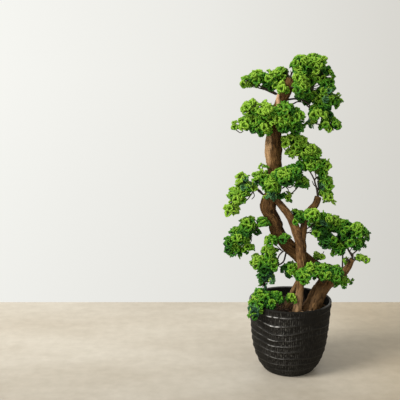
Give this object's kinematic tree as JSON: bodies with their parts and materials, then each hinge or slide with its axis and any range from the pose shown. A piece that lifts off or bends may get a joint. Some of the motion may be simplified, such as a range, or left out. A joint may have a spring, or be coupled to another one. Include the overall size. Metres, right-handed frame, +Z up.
{
  "type": "bonsai tree",
  "caption": "Tall artificial bonsai tree: a crooked trunk with slimmer stems, spreading boughs and clouds of small green leaves, standing in a round tapering pot with wavy ridges.",
  "frame": {"origin": "centre of the pot's flat underside", "axes": "+Z up; -Y towards the side that the tree is looked at from; +X to that viewer's right"},
  "size_m": [0.5687, 0.318, 1.219],
  "materials": {
    "pot": "satin",
    "soil": "matte",
    "bark": "matte",
    "cut_wood": "matte",
    "foliage": "satin"
  },
  "bodies": {
    "root": {"pot": "pot", "soil": "soil", "trunk_base": "bark", "trunk_middle": "bark", "trunk_upper": "bark", "front_stem": "bark", "right_stem": "bark", "rear_stem": "bark", "right_bough": "bark", "trunk_stub": "cut_wood", "crown_top": "foliage", "crown_right": "foliage", "crown_front": "foliage", "crown_cascade": "foliage", "upper_left": "foliage", "mid_left": "foliage", "mid_right": "foliage", "right_arm": "foliage", "stub_spray": "foliage", "centre_left": "foliage", "centre_right": "foliage", "left_hanging": "foliage", "left_pad": "foliage", "left_cascade": "foliage", "trunk_tuft": "foliage", "pot_cascade": "foliage", "low_front": "foliage", "small_rear": "foliage", "knuckle_tuft": "foliage", "right_pad_inner": "foliage", "right_pad_outer": "foliage", "bough_tip": "foliage", "bough_tuft": "foliage", "rear_crown": "foliage", "rear_upper": "foliage", "rear_arm": "foliage", "rear_centre": "foliage", "rear_left": "foliage", "rear_low": "foliage", "rear_right": "foliage"}
  },
  "joints": []
}
